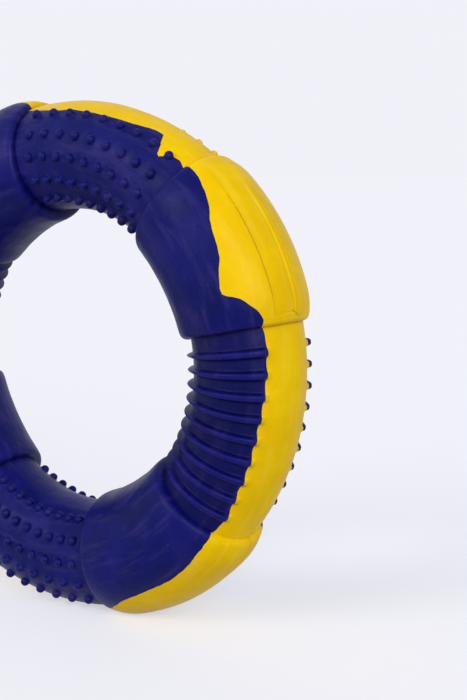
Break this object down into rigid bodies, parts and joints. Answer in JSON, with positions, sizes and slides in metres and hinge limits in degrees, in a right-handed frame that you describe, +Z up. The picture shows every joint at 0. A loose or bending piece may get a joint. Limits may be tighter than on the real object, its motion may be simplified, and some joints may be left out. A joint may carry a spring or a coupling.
{
  "type": "chew toy ring",
  "caption": "Solid rubber chew ring for a dog, with smooth grips between ribbed and nubbed sections and a tread of a second colour round its outer rim.",
  "frame": {"origin": "on the ground under the middle of the standing ring", "axes": "+Z up, Y along the ring's axis, -Y towards the side that the picture shows, +X to the right of that side"},
  "size_m": [0.1448, 0.0368, 0.1441],
  "materials": {
    "body": "satin moulded rubber, dark blue",
    "tread": "satin moulded rubber, yellow"
  },
  "bodies": {
    "root": {"grip_lower_right": "body", "ribs_right": "body", "grip_upper_right": "body", "nubs_top": "body", "grip_upper_left": "body", "ribs_left": "body", "grip_lower_left": "body", "nubs_bottom": "body", "tread_lower_right": "tread", "tread_right": "tread", "tread_upper_right": "tread", "tread_top": "tread", "tread_upper_left": "tread", "tread_left": "tread", "tread_lower_left": "tread", "tread_bottom": "tread"}
  },
  "joints": []
}
